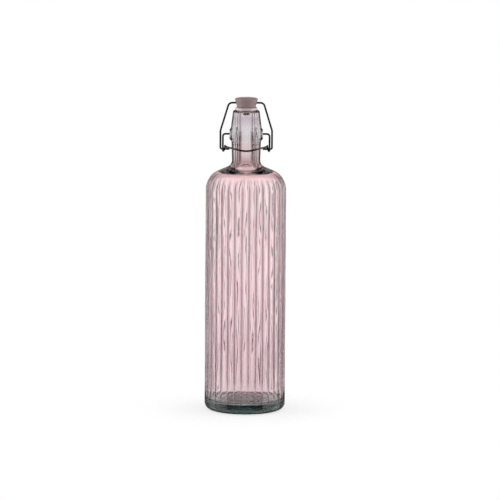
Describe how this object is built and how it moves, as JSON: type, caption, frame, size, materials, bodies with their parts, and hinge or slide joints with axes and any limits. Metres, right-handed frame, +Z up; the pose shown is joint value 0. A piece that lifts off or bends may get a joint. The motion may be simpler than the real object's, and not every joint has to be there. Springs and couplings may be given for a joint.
{
  "type": "swing-top bottle",
  "caption": "Tall fluted glass bottle with a swing-top closure: stopper with gasket, wire bail and thumb lever that clamp it on the mouth.",
  "frame": {"origin": "centre of the base, on the surface that the bottle stands on", "axes": "+Z up along the bottle's axis towards the mouth; -Y is the front, where the lever's thumb bar lies; X runs along the lever's pivots"},
  "size_m": [0.085, 0.085, 0.3318],
  "materials": {
    "tinted_glass": "clear greenish glass with a pink tint on body and neck, bare at the base",
    "stopper_plastic": "smooth, slightly translucent, dusky pink",
    "gasket_rubber": "pale translucent silicone, satin",
    "steel_wire": "drawn wire, bright"
  },
  "bodies": {
    "bottle": {"glass_bottle": "tinted_glass"},
    "lever": {"lever_wire": "steel_wire"},
    "bail": {"bail_wire": "steel_wire"},
    "stopper": {"stopper_head": "stopper_plastic", "stopper_gasket": "gasket_rubber"}
  },
  "joints": [
    {"name": "lever_pivot", "type": "hinge", "parent": "bottle", "child": "lever", "pos_m": [0, 0, 0.2939], "axis": [1, 0, 0], "range_deg": [-170, 0]},
    {"name": "bail_pivot", "type": "hinge", "parent": "lever", "child": "bail", "pos_m": [0, 0.00208, 0.2775], "axis": [1, 0, 0], "range_deg": [0, 114]},
    {"name": "stopper_tilt", "type": "hinge", "parent": "bail", "child": "stopper", "pos_m": [0, 0, 0.327], "axis": [1, 0, 0], "range_deg": [0, 57]}
  ],
  "couplings": [
    {"joint": "bail_pivot", "follows": "lever_pivot", "ratio": -0.67},
    {"joint": "stopper_tilt", "follows": "lever_pivot", "ratio": -0.33}
  ]
}
